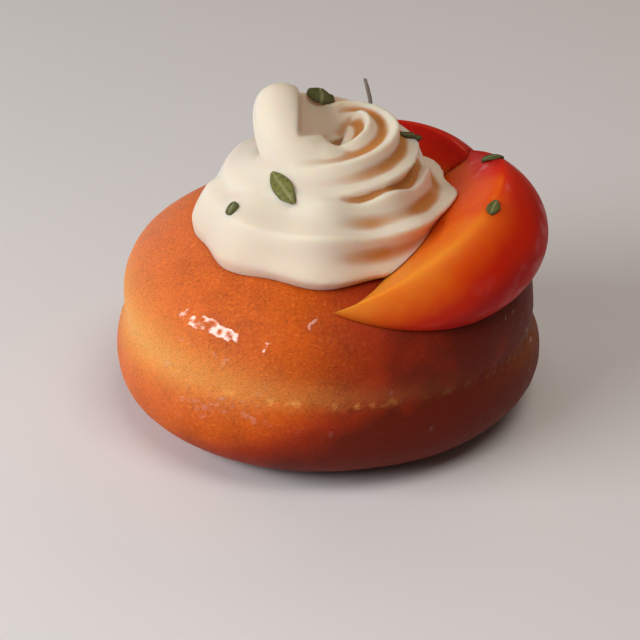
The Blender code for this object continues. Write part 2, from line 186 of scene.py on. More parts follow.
# Thyme leaves, each by a place near its middle, the way its tip points, its length and its width
# in millimetres, and how light its green is
LEAF_SAG = 0.6 * MM
LEAF_CLEARANCE = 0.12 * MM
LEAF_WAVE = 0.14 * MM
LEAF_WAVES = 2.5
LEAF_CUP = 0.2 * MM
LEAF_DROOP = 0.25 * MM
LEAF_BLUNTNESS = 0.03
LEAF_ROUNDNESS = 0.75
RIB_SHARE = 0.16
RIM_FROM = 0.72
LEAF_ROWS = 18
LEAF_COLUMNS = 10
THYME_LEAVES = {
    "thyme_leaf_rim": ((-0.7, 8.3, 59.6), (0.1, -1, -0.1), 5.0, 5.6, 0.35),
    "thyme_leaf_large": ((-8.2, -16.2, 51.1), (-4.2, 7.3, 3.1), 8.6, 3.6, 1.0),
    "thyme_leaf_small": ((-17.3, -16.5, 46.9), (0.2, 0.7, 0.3), 3.2, 2.9, 0.4),
    "thyme_leaf_side": ((15.3, 2.0, 52.4), (0.5, 0.2, -0.85), 4.4, 2.6, 0.25),
    "thyme_leaf_crest": ((30.4, 2.6, 49.0), (1, -0.35, -0.1), 4.4, 2.6, 0.3),
    "thyme_leaf_peach": ((29.4, -19.5, 48.0), (0.35, 1, 0.2), 4.2, 2.5, 0.5),
}
LEAVES_ON_PEACH = ("thyme_leaf_crest", "thyme_leaf_peach")

# How far above a leaf's place, and how far down from there, the surface it lies on is looked for
SURFACE_ABOVE = 4 * MM
SURFACE_REACH = 9 * MM

# A bare thyme stalk that stands in the back of the rosette
STALK_FOOT = Vector((8.3, 7.4, 54.4)) * MM
STALK_TIP = Vector((6.9, 9.4, 61.4)) * MM
STALK_RADIUS = 0.45 * MM
STALK_TAPER = 0.7
STALK_BEND = 0.25 * MM
STALK_KNOBBLES = 0.08 * MM
KNOBBLE_SIZE = 0.8 * MM
STALK_SIDES = 12
STALK_CUTS = 3

# The floor, a plain disc
FLOOR_RADIUS = 1.5
FLOOR_SIDES = 64

# Where the camera looks, its lens and sensor in millimetres, and the nearest that it sees
CAMERA_AIM = Vector((-1.45, 0, 15.43)) * MM
CAMERA_LENS = 132.2
CAMERA_SENSOR = 36
CAMERA_NEAR = 0.01

# The lights, each by its azimuth and elevation in degrees, its distance, width and height in metres,
# its power in watts and its colour; they face a place at the cream's foot
LIGHT_AIM = Vector((0, 0, 30)) * MM
LIGHTS = {
    "window": (-60, 30, 0.6, 0.55, 0.17, 2.7, (1.0, 0.97, 0.93)),
    "ceiling": (32, 66, 0.8, 0.50, 0.40, 2.2, (1.0, 0.90, 0.78)),
    "left wall": (-140, 12, 0.8, 0.70, 0.40, 1.1, (0.95, 0.96, 1.0)),
    "back": (150, 40, 0.7, 0.40, 0.20, 0.4, (1.0, 0.72, 0.5)),
}


class Value:
    """A shader value that takes part in sums written as plain Python."""

    def __init__(self, shade, socket):
        self.shade = shade
        self.socket = socket

    def work(self, operation, first, second):
        """Add one Math node."""
        return self.shade.node("Math", {"operation": operation}, {0: first, 1: second})

    def __add__(self, other):
        return self.work("ADD", self, other)

    __radd__ = __add__

    def __sub__(self, other):
        return self.work("SUBTRACT", self, other)

    def __rsub__(self, other):
        return self.work("SUBTRACT", other, self)

    def __mul__(self, other):
        return self.work("MULTIPLY", self, other)

    def smooth(self, low, high):
        """Ease from 0 at the low value to 1 at the high one."""
        settings = {"interpolation_type": "SMOOTHSTEP"}
        return self.shade.node("MapRange", settings, {"Value": self, "From Min": low, "From Max": high})


class Shade:
    """A material in the making."""

    def __init__(self, name):
        self.material = bpy.data.materials.new(name)
        self.material.use_nodes = True
        self.tree = self.material.node_tree
        self.surface = self.tree.nodes["Principled BSDF"]

    def node(self, kind, settings, inputs, output=0):
        """Add a node, with its settings made before its sockets are filled."""
        made = self.tree.nodes.new("ShaderNode" + kind)
        for name, value in settings.items():
            setattr(made, name, value)
        for name, value in inputs.items():
            self.fill(made.inputs[name], value)
        return Value(self, made.outputs[output])

    def fill(self, socket, value):
        """Link a shader value to a socket, or set a plain one on it."""
        if isinstance(value, Value):
            self.tree.links.new(value.socket, socket)
        elif socket.type == "RGBA":
            socket.default_value = (*value, 1)
        else:
            socket.default_value = value

    def finish(self, **sockets):
        """Fill the surface's sockets, named with underscores for spaces, and hand over the material."""
        for name, value in sockets.items():
            self.fill(self.surface.inputs[name.replace("_", " ")], value)
        return self.material

    def place(self):
        """The place on the piece, in metres."""
        return self.node("TexCoord", {}, {}, "Object")

    def own(self, name):
        """A value that the piece's own points hold."""
        return self.node("Attribute", {"attribute_name": name}, {}, "Fac")

    def grain(self, size, detail, roughness=0.5, place=None):
        """Cloudy noise whose spots have a size in metres."""
        where = place or self.place()
        inputs = {"Vector": where, "Scale": 1 / size, "Detail": detail, "Roughness": roughness}
        return self.node("TexNoise", {}, inputs)

    def mix(self, first, second, share):
        """Blend two colours."""
        return self.node("Mix", {"data_type": "RGBA"}, {0: share, 6: first, 7: second}, 2)

    def bump(self, height, depth, strength, normal=None):
        """Fine relief of a depth in metres."""
        inputs = {"Height": height, "Distance": depth, "Strength": strength}
        if normal:
            inputs["Normal"] = normal
        return self.node("Bump", {}, inputs)


def crust_material(look):
    """Soaked golden crust: orange, speckled with pores, pale in the band where it rose.

    Browning and painted shade darken its front right and foot; a painted sheen pales its left.
    """
    shade = Shade("soaked crust")
    speckle = shade.grain(look.speck_size, detail=3, roughness=0.6)
    mottle = shade.grain(7 * MM, detail=3)
    flat = shade.node("VectorMath", {"operation": "MULTIPLY"}, {0: shade.place(), 1: (1, 1, 2.2)})
    pores = shade.grain(look.pore_size, detail=2, place=flat)
    pale = shade.own("pale")
    browned_and_shaded = shade.own("browned_and_shaded")
    wet = shade.own("wet")
    # Painted sheen: the soft crust is paler and bluer, for the window's light glancing off the left side
    colour = shade.mix(look.soft, look.crust, browned_and_shaded * 4)
    # Russet, then deep crust: the front right and the foot darken, partly from browning, partly as
    # painted shade
    colour = shade.mix(colour, look.russet, browned_and_shaded.smooth(0.2, 0.7) * 0.9)
    colour = shade.mix(colour, look.deep, (mottle - 0.38) * 0.7 + browned_and_shaded)
    colour = shade.mix(colour, look.band, pale * (0.7 + speckle * 0.5))
    colour = shade.mix(colour, look.light, speckle.smooth(0.5, 0.7) * (1 - browned_and_shaded * 1.6) * 0.6)
    colour = shade.mix(colour, look.deep, pores.smooth(0.5, 0.68) * 0.32)
    relief = shade.bump(speckle, 0.3 * MM, 0.5)
    relief = shade.bump(pores, 0.22 * MM, 0.6, relief)
    return shade.finish(Base_Color=colour, Roughness=0.4 + speckle * 0.14, Normal=relief,
                        Specular_IOR_Level=0.1, Coat_Weight=wet, Coat_Roughness=0.07, Coat_IOR=1.8,
                        Subsurface_Weight=0.25, Subsurface_Scale=2.5 * MM,
                        Subsurface_Radius=(1.0, 0.3, 0.08))


def cream_material(look):
    """Whipped cream: ivory and satin, with painted shade and painted orange light from the peach in its
    grooves.
    """
    shade = Shade("whipped cream")
    smear = shade.grain(3 * MM, detail=3)
    fine = shade.grain(0.5 * MM, detail=2)
    hollow = shade.own("hollow")
    # Painted shade in the grooves, the hollow and low down, warmed as painted light reflected from the
    # peach
    colour = shade.mix(look.cream, look.shade, hollow * (0.95 + smear * 0.4))
    relief = shade.bump(smear, 0.12 * MM, 0.4)
    relief = shade.bump(fine, 0.04 * MM, 0.4, relief)
    return shade.finish(Base_Color=colour, Roughness=0.48 + smear * 0.12, Normal=relief,
                        Specular_IOR_Level=0.35, Subsurface_Weight=0.65, Subsurface_Scale=3.2 * MM,
                        Subsurface_Radius=(1.0, 0.5, 0.22))


def peach_material(name, look):
    """Wet peach: yellow at its tip and cut edge, through orange to deep red, partly painted shade on the
    lower skin.
    """
    shade = Shade(name)
    fibre = shade.grain(look.fibre_size, detail=3)
    cloud = shade.grain(9 * MM, detail=2)
    ripe_and_shade = shade.own("ripe_and_shade") + (cloud - 0.5) * 0.22 + (fibre - 0.5) * 0.07
    colour = shade.mix(look.yellow, look.orange, ripe_and_shade.smooth(0.0, 0.38))
    colour = shade.mix(colour, look.red, ripe_and_shade.smooth(0.28, 0.62))
    colour = shade.mix(colour, look.deep_red, ripe_and_shade.smooth(0.64, 1.0))
    relief = shade.bump(fibre, 0.12 * MM, 0.35)
    juice = shade.grain(3.5 * MM, detail=3).smooth(0.5, 0.62) * ripe_and_shade.smooth(0.4, 0.6) * 0.3
    return shade.finish(Base_Color=colour, Roughness=0.34 + fibre * 0.14, Normal=relief,
                        Specular_IOR_Level=0.05, Coat_Weight=juice, Coat_Roughness=0.12,
                        Subsurface_Weight=0.65, Subsurface_Scale=5 * MM,
                        Subsurface_Radius=(1.0, 0.2, 0.04))


def leaf_material(name, look, light):
    """A thyme leaf: dull green, with a paler midrib and rim."""
    shade = Shade(name)
    mottle = shade.grain(0.7 * MM, detail=2)
    rib = shade.own("rib")
    rim = shade.own("rim")
    green = [low + (high - low) * light for low, high in zip(look.dark, look.leaf)]
    colour = shade.mix(tuple(green), look.dark, mottle.smooth(0.4, 0.7) * 0.5)
    colour = shade.mix(colour, look.rib, rib * 0.55)
    colour = shade.mix(colour, look.rim, rim * 0.5)
    relief = shade.bump(mottle, 0.08 * MM, 0.4)
    return shade.finish(Base_Color=colour, Roughness=0.38 + mottle * 0.2, Normal=relief,
                        Specular_IOR_Level=0.18)


def stalk_material(look):
    """The stalk's dull grey-brown bark."""
    shade = Shade("thyme stalk")
    bark = shade.grain(0.5 * MM, detail=3)
    colour = shade.mix(look.stalk, look.dark, bark.smooth(0.5, 0.8) * 0.6)
    return shade.finish(Base_Color=colour, Roughness=0.6, Normal=shade.bump(bark, 0.08 * MM, 0.5))


def floor_material(look):
    """A plain pale floor."""
    shade = Shade("pale floor")
    cloud = shade.grain(60 * MM, detail=2)
    colour = shade.mix(look.floor, [value * 0.97 for value in look.floor], cloud)
    return shade.finish(Base_Color=colour, Roughness=0.6)


def deselect_all():
    """Leave object mode's selection empty."""
    bpy.ops.object.select_all(action="DESELECT")
    bpy.context.view_layer.objects.active = None


def take_up(piece):
    """Make one piece the selected and active one."""
    deselect_all()
    piece.select_set(True)
    bpy.context.view_layer.objects.active = piece


def settle(piece):
    """Apply a piece's modifiers in order."""
    take_up(piece)
    for modifier in list(piece.modifiers):
        bpy.ops.object.modifier_apply(modifier=modifier.name)


def finish_piece(piece, material, *nodes, slot=None):
    """Give a piece its material and its place in the model."""
    take_up(piece)
    bpy.ops.object.shade_smooth()
    piece.data.materials.clear()
    piece.data.materials.append(material)
    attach(piece, BODY)
    if nodes:
        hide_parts(*nodes)
    deselect_all()


def make_mesh(name, points, faces):
    """Make an object from points and faces, with its faces turned outwards."""
    mesh = bpy.data.meshes.new(name)
    mesh.from_pydata([tuple(point) for point in points], [], faces)
    piece = bpy.data.objects.new(name, mesh)
    bpy.context.scene.collection.objects.link(piece)
    take_up(piece)
    bpy.ops.object.mode_set(mode="EDIT")
    bpy.ops.mesh.select_all(action="SELECT")
    bpy.ops.mesh.normals_make_consistent(inside=False)
    bpy.ops.object.mode_set(mode="OBJECT")
    return piece


def hold_values(piece, name, values):
    """Keep one value for each of the piece's points, for its material to read."""
    attribute = piece.data.attributes.new(name, "FLOAT", "POINT")
    attribute.data.foreach_set("value", values)


def fill_values(piece, name, value):
    """Give a value to the points that a cut has added."""
    for held in piece.data.attributes[name].data:
        if held.value == 0:
            held.value = value


def smooth_step(share):
    """Ease from 0 to 1."""
    share = min(max(share, 0), 1)
    return share * share * (3 - 2 * share)


def ease(value, start, span):
    """Ease from 0 at the start to 1 where the span ends."""
    return smooth_step((value - start) / span)


def bell(value, middle, reach):
    """Ease from 1 in the middle down to 0 on both sides."""
    return math.exp(-((value - middle) / reach) ** 2)


def bumps(point, size, height):
    """Rise of a bumpy surface at a point, from the bumps' size and height in millimetres."""
    return noise.noise(point / (size * MM)) * height * MM


def loft_faces(rows, sides):
    """Quads between closed rows of points, with both ends left open."""
    faces = []
    for row in range(rows - 1):
        for side in range(sides):
            after = (side + 1) % sides
            first = row * sides
            second = first + sides
            faces.append((first + side, first + after, second + after, second + side))
    return faces


def bun_stretch(angle):
    """How far the bun's girth departs from round, as a factor on its radius."""
    return 1 + sum(share * math.sin(waves * angle + phase) for waves, share, phase in GIRTH_WAVES)


def bun_outline():
    """Outline of the bun without its crease, from beside the crown down to the foot."""
    outline = []
    for row in range(1, BUN_UPPER_ROWS):
        turn = row / BUN_UPPER_ROWS * math.pi / 2
        out = CROWN_RADIUS + (UPPER_RADIUS - CROWN_RADIUS) * math.sin(turn) ** (2 / UPPER_ROUNDNESS)
        up = UPPER_HEIGHT + (BUN_HEIGHT - UPPER_HEIGHT) * math.cos(turn) ** (2 / UPPER_ROUNDNESS)
        outline.append((out, up))
    for row in range(BUN_SIDE_ROWS):
        share = row / BUN_SIDE_ROWS
        out = UPPER_RADIUS + (LOWER_RADIUS - UPPER_RADIUS) * smooth_step(share)
        outline.append((out, UPPER_HEIGHT + (LOWER_HEIGHT - UPPER_HEIGHT) * share))
    for row in range(BUN_LOWER_ROWS + 1):
        turn = row / BUN_LOWER_ROWS * math.pi / 2
        swell = max(math.cos(turn), 0) ** (2 / LOWER_ROUNDNESS)
        out = FOOT_RADIUS + (LOWER_RADIUS - FOOT_RADIUS) * swell
        outline.append((out, LOWER_HEIGHT * (1 - math.sin(turn) ** (2 / LOWER_ROUNDNESS))))
    return outline


def bun_top(x, y):
    """Height of the bun's upper surface above a place."""
    out = math.hypot(x, y) / bun_stretch(math.atan2(y, x))
    share = min(max((out - CROWN_RADIUS) / (UPPER_RADIUS - CROWN_RADIUS), 0), 1)
    fall = (1 - share ** UPPER_ROUNDNESS) ** (1 / UPPER_ROUNDNESS)
    return UPPER_HEIGHT + (BUN_HEIGHT - UPPER_HEIGHT) * fall


def turn_bun(name):
    """Draw the crown as a disc, and extrude its rim ring by ring down to the foot."""
    deselect_all()
    bpy.ops.mesh.primitive_circle_add(vertices=BUN_SECTORS, radius=CROWN_RADIUS, fill_type="TRIFAN",
                                      location=(0, 0, BUN_HEIGHT))
    piece = bpy.context.object
    piece.name = name
    bpy.ops.object.transform_apply(location=True)
    bpy.ops.object.mode_set(mode="EDIT")
    bpy.ops.mesh.select_all(action="DESELECT")
    bpy.ops.mesh.select_mode(type="EDGE")
    bpy.ops.mesh.select_non_manifold(extend=False)
    last_out = CROWN_RADIUS
    last_up = BUN_HEIGHT
    for out, up in bun_outline():
        bpy.ops.mesh.extrude_edges_move(TRANSFORM_OT_translate={"value": (0, 0, up - last_up)})
        bpy.ops.transform.resize(value=(out / last_out, out / last_out, 1), center_override=(0, 0, up))
        last_out = out
        last_up = up
    for share in FOOT_RINGS:
        inwards = share * FOOT_RADIUS / last_out
        bpy.ops.mesh.extrude_edges_move(TRANSFORM_OT_translate={"value": (0, 0, 0)})
        bpy.ops.transform.resize(value=(inwards, inwards, 1), center_override=(0, 0, last_up))
        last_out = share * FOOT_RADIUS
    bpy.ops.mesh.extrude_edges_move(TRANSFORM_OT_translate={"value": (0, 0, 0)})
    bpy.ops.mesh.merge(type="CENTER")
    bpy.ops.mesh.select_all(action="SELECT")
    bpy.ops.mesh.normals_make_consistent(inside=False)
    bpy.ops.mesh.select_mode(type="VERT")
    bpy.ops.object.mode_set(mode="OBJECT")
    finer = piece.modifiers.new("finer", "SUBSURF")
    finer.levels = BUN_FINENESS
    finer.render_levels = BUN_FINENESS
    settle(piece)
    return piece


def crease_height(angle):
    """Height of the crease round the bun, with the small wander of a torn edge."""
    wander = noise.noise(Vector((3 * math.cos(angle), 3 * math.sin(angle), 7))) * CREASE_WANDER
    return CREASE_HEIGHT - CREASE_TILT * math.cos(angle) + wander


def crease_depth(angle):
    """Depth of the crease: a waist at the sides that runs out towards the front."""
    front = max(0, -math.sin(angle)) ** 2
    return CREASE_DEPTH * (1 - CREASE_FADE * front)


def band_share(angle, height, point):
    """How pale the crust is: in a band above the crease, widest at the front left."""
    degrees = math.degrees(angle)
    above = (height - crease_height(angle)) / MM
    left = 0.5 + 0.5 * math.cos(angle - math.radians(BAND_ANGLE))
    spread = (1.2 + 4.2 * left ** 3) * (1 if above > 1.5 else 0.62)
    glow = left ** 3 * math.exp(-0.5 * ((above - 1.5) / spread) ** 2)
    ragged = noise.noise(point / (2.4 * MM)) + 0.5 * noise.noise(point / (1.0 * MM))
    front = bell(degrees, TEAR_ANGLE, TEAR_REACH)
    torn = bell(above, 1.2 * ragged, 0.5) * ease(ragged, -0.05, 0.35)
    right = 0.12 * math.exp(-0.5 * ((above + 1) / 1.8) ** 2) * bell(degrees, -12, 22)
    return min(1, glow + right + torn * (0.08 + 0.55 * front))


def wet_share(angle, height, point):
    """How much clear syrup lies on the crust: small patches, most of them on the front left shoulder."""
    degrees = math.degrees(angle)
    shoulder = bell(height, 30 * MM, 5 * MM)
    ledge = bell(height, crease_height(angle) - 2 * MM, 3 * MM)
    front_left = bell(degrees, SYRUP_ANGLE, SYRUP_REACH) * max(shoulder, ledge)
    patches = 0.6 * noise.noise(point / (4.5 * MM)) + 0.8 * noise.noise(point / (1.3 * MM))
    dry_left = ease(abs(degrees), 135, 20)
    above_foot = ease(height, 8 * MM, 7 * MM)
    return ease(patches + 0.66 * front_left, 0.56, 0.2) * (1 - dry_left) * above_foot


def crust_relief(angle, height, point):
    """How far the crust stands out at a point: broad dents, soft lumps and the torn crease."""
    away = (height - crease_height(angle)) / CREASE_WIDTH
    crease = math.exp(-away * away)
    tear = bumps(Vector((point.x, point.y, point.z * 2)), *CREASE_TEARS)
    front = ease(math.cos(angle - math.radians(TEAR_DEEPEST)), -0.2, 0.8)
    film = wet_share(angle, height, point)
    fine = bumps(point, *CRUST_LUMPS) + bumps(point, *CRUST_PIMPLES)
    skin = bumps(point, *CRUST_DENTS) + fine * (1 - 0.6 * film) + film * SYRUP_THICKNESS
    return skin - crease * crease_depth(angle) + crease ** 3 * tear * (0.35 + 0.65 * front)


def browning_and_shade_share(degrees, height):
    """How dark the crust is: more towards the front, most on the front right and at the foot;
    partly browning, partly painted shade.
    """
    darkened_side = 1 - ease(degrees, *BACK_UNDARKENED)
    front = ease(degrees, *FRONT_DARKENED) * darkened_side
    right = ease(degrees, *RIGHT_DARKENED) * darkened_side
    foot = (0.36 + 0.60 * front) * (1 - smooth_step(height / ((13 + 10 * front) * MM)))
    return min(1, 0.16 * front + 0.80 * right + foot)


def weather_crust(piece):
    """Press the girth and the relief into the turned bun, and note where it is pale, wet and darkened,
    partly by browning and partly as painted shade.
    """
    pale = []
    browned_and_shaded = []
    wet = []
    for vertex in piece.data.vertices:
        point = vertex.co.copy()
        out = math.hypot(point.x, point.y)
        angle = math.atan2(point.y, point.x)
        edge = smooth_step(point.z / FOOT_EDGE) * smooth_step(out / CROWN_RADIUS)
        side = Vector((point.x, point.y, 0)) / max(out, MM)
        steep = smooth_step((BUN_HEIGHT - point.z) / CROWN_EDGE)
        way = (side * steep + Vector((0, 0, 1)) * (1 - steep)).normalized()
        point.x *= bun_stretch(angle)
        point.y *= bun_stretch(angle)
        vertex.co = point + way * crust_relief(angle, point.z, point) * edge
        pale.append(band_share(angle, point.z, point))
        browned_and_shaded.append(browning_and_shade_share(math.degrees(angle), point.z))
        wet.append(wet_share(angle, point.z, point))
    hold_values(piece, "pale", pale)
    hold_values(piece, "browned_and_shaded", browned_and_shaded)
    hold_values(piece, "wet", wet)


class Wedge:
    """A crescent of peach flesh between two tips, which lies on the bun."""

    def __init__(self, near, far, low, high, bow, swell, stone):
        """Take the tips, the skin's lower and upper edge angles, and the depths in millimetres."""
        self.near = Vector(near) * MM
        self.far = Vector(far) * MM
        self.low = math.radians(low)
        self.high = math.radians(high)
        self.bow = bow * MM
        self.swell = swell * MM
        self.stone = stone * MM
        along = (self.far - self.near).normalized()
        self.outward = along.cross(Vector((0, 0, 1))).normalized()
        self.upward = self.outward.cross(along)

    def place(self, along, turn, depth):
        """A point at an angle along the crescent, an angle round it and a depth."""
        middle = (self.near + self.far) / 2 + (self.far - self.near) / 2 * math.sin(along)
        way = self.outward * math.cos(turn) + self.upward * math.sin(turn)
        return middle + way * depth * math.cos(along)

    def skin(self, along, share):
        """A point on the skin, from its lower edge at 0 to its upper edge at 1."""
        turn = self.low + (self.high - self.low) * share
        return self.place(along, turn, self.bow + self.swell * math.sin(math.pi * share))

    def section(self, along):
        """One closed section: skin upwards, upper cut inwards, lower cut outwards, corners rounded."""
        points = [self.skin(along, step / SKIN_STEPS) for step in range(SKIN_STEPS)]
        upper = self.skin(along, 1)
        core = self.place(along, (self.low + self.high) / 2, self.stone)
        points += [upper.lerp(core, step / CUT_STEPS) for step in range(CUT_STEPS)]
        points += [core.lerp(points[0], step / CUT_STEPS) for step in range(CUT_STEPS)]
        for _ in range(EDGE_ROUNDING):
            points = [(points[i - 1] + points[i] * 2 + points[(i + 1) % len(points)]) / 4
                      for i in range(len(points))]
        return points

    def build(self, name, ripeness_and_shade):
        """Loft the sections from tip to tip, rest them on the bun, and note each point's ripeness and
        any painted shade.
        """
        sides = SKIN_STEPS + 2 * CUT_STEPS
        points = []
        ripe_and_shade = []
        for row in range(1, WEDGE_STATIONS):
            along = math.pi * (row / WEDGE_STATIONS - 0.5)
            points.extend(self.section(along))
            ripe_and_shade.extend(ripeness_and_shade(0.5 + 0.5 * math.sin(along), side) for side in range(sides))
        faces = loft_faces(WEDGE_STATIONS - 1, sides)
        for end, tip in enumerate((self.near, self.far)):
            points.append(tip)
            ripe_and_shade.append(ripeness_and_shade(end, 0))
            first = end * (WEDGE_STATIONS - 2) * sides
            for side in range(sides):
                faces.append((len(points) - 1, first + side, first + (side + 1) % sides))
        piece = make_mesh(name, [self.rest(point) for point in points], faces)
        hold_values(piece, "ripe_and_shade", ripe_and_shade)
        return piece

    @staticmethod
    def rest(point):
        """Lift a point that would lie below the bun's crust."""
        lowest = bun_top(point.x, point.y) + WEDGE_GAP
        return Vector((point.x, point.y, max(point.z, lowest)))


FRONT_WEDGE = Wedge(near=(1, -32.9, 34.4), far=(18.5, 18.8, 40.8),
                    low=-22, high=29, bow=25.4, swell=5.9, stone=5.6)
BACK_WEDGE = Wedge(near=(27, -6, 38.3), far=(-9, 25, 37),
                   low=-22, high=36, bow=17, swell=4.5, stone=5)


def front_ripeness_and_shade(along, side):
    """Ripeness of the front wedge: golden at the near tip and along the upper edge, red beyond,
    and deeper red as painted shade down towards the skin's lower edge.
    """
    from_edge = abs(side - SKIN_STEPS) / SKIN_STEPS
    ridge = 0.02 + 0.4 * along + 0.3 * ease(along, 0.32, 0.3)
    if side < SKIN_STEPS:
        body = 0.1 * (1 - bell(from_edge, 0, 0.07)) * (1 - ease(along, 0.3, 0.2))
        # Painted shade on top of the blush: the skin deepens to dark red towards its lower, down-facing
        # edge
        return ridge + body + from_edge ** 1.5 * (0.2 + 6.5 * min(along, 0.3))
    crimson = ease(along, 0.6, 0.2) * (1 - ease(from_edge, 0, 0.25))
    return min(ridge, 0.3) + 0.08 * ease(from_edge, 0, 0.05) + 0.7 * crimson


def back_ripeness(along, side):
    """Ripeness of the back wedge: crimson skin, orange on its cuts."""
    from_edge = abs(side - SKIN_STEPS) / SKIN_STEPS
    if side < SKIN_STEPS:
        return 0.75 + 0.3 * from_edge
    return 0.95 - 0.75 * ease(from_edge, 0, 0.4)


def rope_station(angle):
    """Way out, height and radius of the cream rope at a winding angle, in metres."""
    places = [station[0] for station in ROPE_STATIONS]
    last = len(places) - 1
    index = max(i for i in range(last) if places[i] <= angle)
    share = (angle - places[index]) / (places[index + 1] - places[index])
    values = []
    for column in (1, 2, 3):
        before, here, after, beyond = (ROPE_STATIONS[min(max(index + step, 0), last)][column]
                                       for step in (-1, 0, 1, 2))
        bend = (2 * here + (after - before) * share
                + (2 * before - 5 * here + 4 * after - beyond) * share ** 2
                + (3 * here - before - 3 * after + beyond) * share ** 3)
        values.append(bend / 2 * MM)
    return values


def rope_middle(angle):
    """Middle of the cream rope at a winding angle."""
    out, up, _ = rope_station(angle)
    turn = math.radians(angle)
    return Vector((ROPE_AXIS[0] + out * math.cos(turn), ROPE_AXIS[1] + out * math.sin(turn), up))


def flute_depth(angle):
    """Depth of the grooves: deepest at the right, smeared at the left and at the end of the rope."""
    side = FLUTE_EVENNESS + (1 - FLUTE_EVENNESS) * math.cos(math.radians(angle - FLUTE_DEEPEST))
    plain = ease(angle, PLAIN_FROM, PLAIN_TO - PLAIN_FROM)
    return FLUTE_DEPTH * side * (1 - PLAIN_SHARE * plain)


def lobe_swell(angle):
    """How far the lowest turn swells and pinches along its way, as a factor on the rope's radius."""
    low = 1 - ease(angle, LOBES_FROM, LOBES_TO - LOBES_FROM)
    return 1 - LOBE_DEPTH * low * math.sin(LOBES * math.radians(angle))


def flute_spin(angle):
    """How far the grooves are turned round the rope: a slow twist, then a curl down into the hollow."""
    curl = FLUTE_CURL * ease(angle, CURL_FROM, CURL_TO - CURL_FROM)
    return math.radians(FLUTE_PHASE + FLUTE_TWIST * (angle - ROPE_STATIONS[0][0]) + curl)


def pipe_rope(name):
    """Sweep the star nozzle's profile along the winding path."""
    first = ROPE_STATIONS[0][0]
    final = ROPE_STATIONS[-1][0]
    count = (final - first) // ROPE_STEP
    sides = FLUTES * FLUTE_POINTS
    points = []
    for ring in range(count + 1):
        angle = first + (final - first) * ring / count
        middle = rope_middle(angle)
        ahead = rope_middle(min(angle + 1, final)) - rope_middle(max(angle - 1, first))
        ahead.normalize()
        turn = math.radians(angle)
        outward = Vector((math.cos(turn), math.sin(turn), 0))
        outward = (outward - ahead * outward.dot(ahead)).normalized()
        upward = ahead.cross(outward) * -1
        radius = rope_station(angle)[2] * lobe_swell(angle)
        ends = min(ring, count - ring) * ROPE_STEP
        ease = min(1, ROPE_END_SHARE + ends / ROPE_END_TURN)
        depth = flute_depth(angle)
        spin = flute_spin(angle)
        for side in range(sides):
            around = math.tau * side / sides
            groove = abs(math.sin(FLUTES * around / 2)) ** FLUTE_SHARPNESS
            reach = radius * ease * (1 - depth * groove)
            place = around + spin
            points.append(middle + outward * reach * math.cos(place) + upward * reach * math.sin(place))
    faces = loft_faces(count + 1, sides)
    faces.append(tuple(range(sides)))
    faces.append(tuple(range(count * sides, (count + 1) * sides)))
    return make_mesh(name, points, faces)


def fill_core(name):
    """Make the plain mass of cream that the rope is wound round."""
    points = []
    for row in range(CORE_ROWS + 1):
        share = row / CORE_ROWS
        radius = CORE_RADIUS * math.sqrt(max(1 - share ** CORE_ROUNDNESS, CORE_FLAT_TOP))
        height = CORE_BASE + (CORE_TOP - CORE_BASE) * share
        for side in range(CORE_SIDES):
            turn = math.tau * side / CORE_SIDES
            out = (ROPE_AXIS[0] + radius * math.cos(turn), ROPE_AXIS[1] + radius * math.sin(turn))
            points.append((*out, height))
    faces = loft_faces(CORE_ROWS + 1, CORE_SIDES)
    faces.append(tuple(range(CORE_SIDES)))
    faces.append(tuple(range(CORE_ROWS * CORE_SIDES, (CORE_ROWS + 1) * CORE_SIDES)))
    return make_mesh(name, points, faces)


def draw_hollow(name):
    """Draw the body that is scooped out of the cream beside the knob."""
    points = [Vector(corner) * MM for corner in HOLLOW_FLOOR + HOLLOW_RIM + HOLLOW_SKY]
    faces = loft_faces(3, 4)
    faces.append((0, 1, 2, 3))
    faces.append((8, 9, 10, 11))
    return make_mesh(name, points, faces)


def grown_copy(piece, gap):
    """Copy a piece with its surface moved out by a gap, to cut its neighbour with."""
    mesh = piece.data.copy()
    if "ripe_and_shade" in mesh.attributes:
        mesh.attributes.remove(mesh.attributes["ripe_and_shade"])
    build = bmesh.new()
    build.from_mesh(mesh)
    build.normal_update()
    moves = [vertex.normal * gap * min(vertex.calc_shell_factor(), EDGE_GAPS) for vertex in build.verts]
    for vertex, move in zip(build.verts, moves):
        vertex.co += move
    build.to_mesh(mesh)
    build.free()
    copy = bpy.data.objects.new("seat", mesh)
    bpy.context.scene.collection.objects.link(copy)
    return copy


def cut_away(piece, neighbours, gap):
    """Cut a piece by its neighbours, grown by a gap."""
    cutters = [grown_copy(neighbour, gap) for neighbour in neighbours]
    for cutter in cutters:
        cut = piece.modifiers.new("cut", "BOOLEAN")
        cut.operation = "DIFFERENCE"
        cut.solver = "MANIFOLD"
        cut.object = cutter
    settle(piece)
    for cutter in cutters:
        bpy.data.objects.remove(cutter, do_unlink=True)


def pipe_cream(name, grain, softening):
    """Pipe the rosette and run its turns together."""
    rope = pipe_rope(name)
    core = fill_core("core")
    take_up(rope)
    core.select_set(True)
    bpy.ops.object.join()
    hollow = draw_hollow("hollow")
    blend = rope.modifiers.new("run together", "REMESH")
    blend.mode = "VOXEL"
    blend.voxel_size = grain
    scoop = rope.modifiers.new("scoop", "BOOLEAN")
    scoop.operation = "DIFFERENCE"
    scoop.object = hollow
    again = rope.modifiers.new("run together again", "REMESH")
    again.mode = "VOXEL"
    again.voxel_size = grain
    soften = rope.modifiers.new("soften", "SMOOTH")
    soften.factor = 0.5
    soften.iterations = softening
    settle(rope)
    bpy.data.objects.remove(hollow, do_unlink=True)
    return rope


